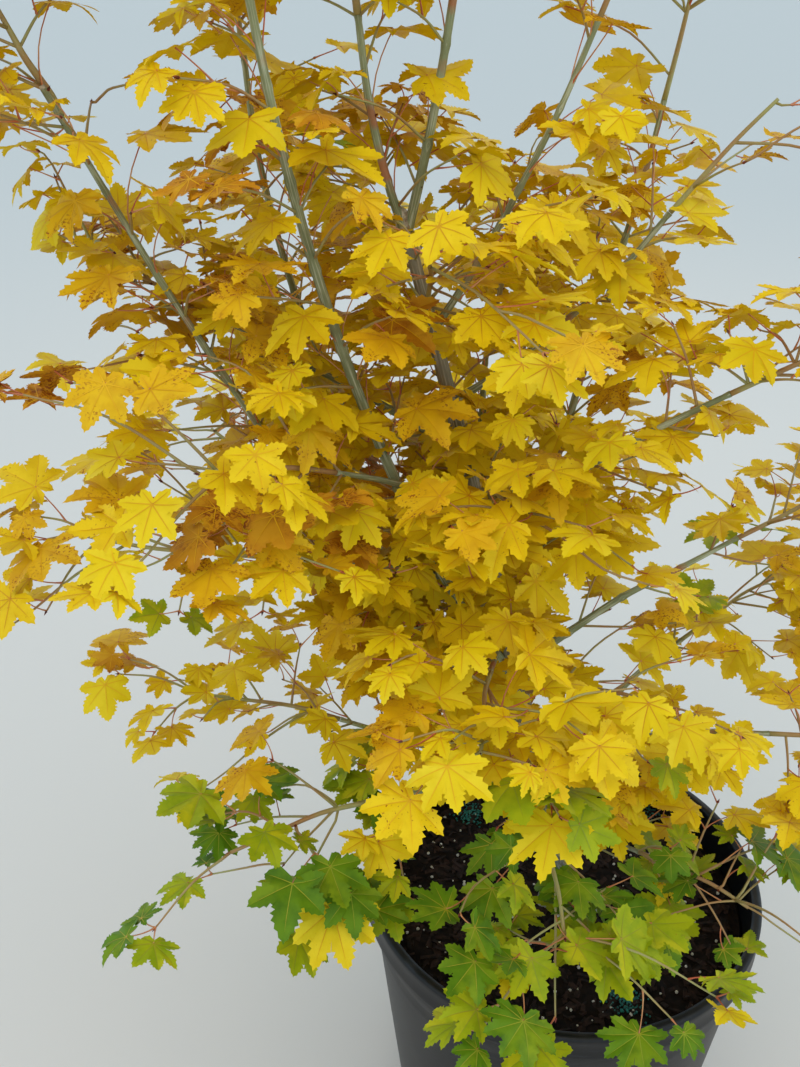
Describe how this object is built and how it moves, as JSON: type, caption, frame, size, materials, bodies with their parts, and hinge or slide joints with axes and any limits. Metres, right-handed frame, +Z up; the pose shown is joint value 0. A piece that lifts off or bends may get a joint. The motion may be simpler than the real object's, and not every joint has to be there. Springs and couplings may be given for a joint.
{
  "type": "potted maple tree",
  "caption": "Young leaning maple with upswept whippy boughs, tiered palmate leaves in yellow autumn colour and a round black nursery pot.",
  "frame": {"origin": "centre of the pot's flat underside", "axes": "+Z up; +Y away from the front, which is the side seen in the picture; +X to the right of that view"},
  "size_m": [1.2165, 0.9507, 1.8198],
  "materials": {
    "plastic": "moulded black plant-pot plastic, scuffed grey along the rim",
    "compost": "loose dark bark compost with pale grit",
    "bark": "smooth grey-green bark with pale lengthwise streaks",
    "foliage": "thin yellow autumn leaves on fine twigs"
  },
  "bodies": {
    "root": {"pot": "plastic", "soil": "compost", "trunk": "bark", "bough_front_right_low": "bark", "bough_left_low": "bark", "bough_back_right_low": "bark", "bough_front_left_low": "bark", "bough_right_low": "bark", "bough_back_left_low": "bark", "bough_front_low": "bark", "bough_stem_left": "bark", "bough_back_low": "bark", "bough_stem_front_left": "bark", "bough_right_middle": "bark", "bough_stem_back_left": "bark", "bough_stem_back_right": "bark", "bough_left_middle": "bark", "bough_front_middle": "bark", "bough_back_left_middle": "bark", "bough_right_upper": "bark", "bough_front_left_upper": "bark", "bough_back_upper": "bark", "bough_left_upper": "bark", "bough_right_high": "bark", "bough_stem_right": "bark", "bough_fork_right": "bark", "bough_fork_left": "bark", "leaves_inner_right_low": "foliage", "leaves_inner_back": "foliage", "leaves_inner_front": "foliage", "leaves_inner_front_high": "foliage", "leaves_inner_back_high": "foliage", "leaves_front_right_low": "foliage", "leaves_left_low": "foliage", "leaves_back_right_low": "foliage", "leaves_front_left_low": "foliage", "leaves_right_low": "foliage", "leaves_back_left_low": "foliage", "leaves_front_low": "foliage", "leaves_stem_left": "foliage", "leaves_back_low": "foliage", "leaves_stem_front_left": "foliage", "leaves_right_middle": "foliage", "leaves_stem_back_left": "foliage", "leaves_stem_back_right": "foliage", "leaves_left_middle": "foliage", "leaves_front_middle": "foliage", "leaves_back_left_middle": "foliage", "leaves_right_upper": "foliage", "leaves_front_left_upper": "foliage", "leaves_back_upper": "foliage", "leaves_left_upper": "foliage", "leaves_right_high": "foliage", "leaves_stem_right": "foliage", "leaves_fork_right": "foliage", "leaves_fork_left": "foliage"}
  },
  "joints": []
}
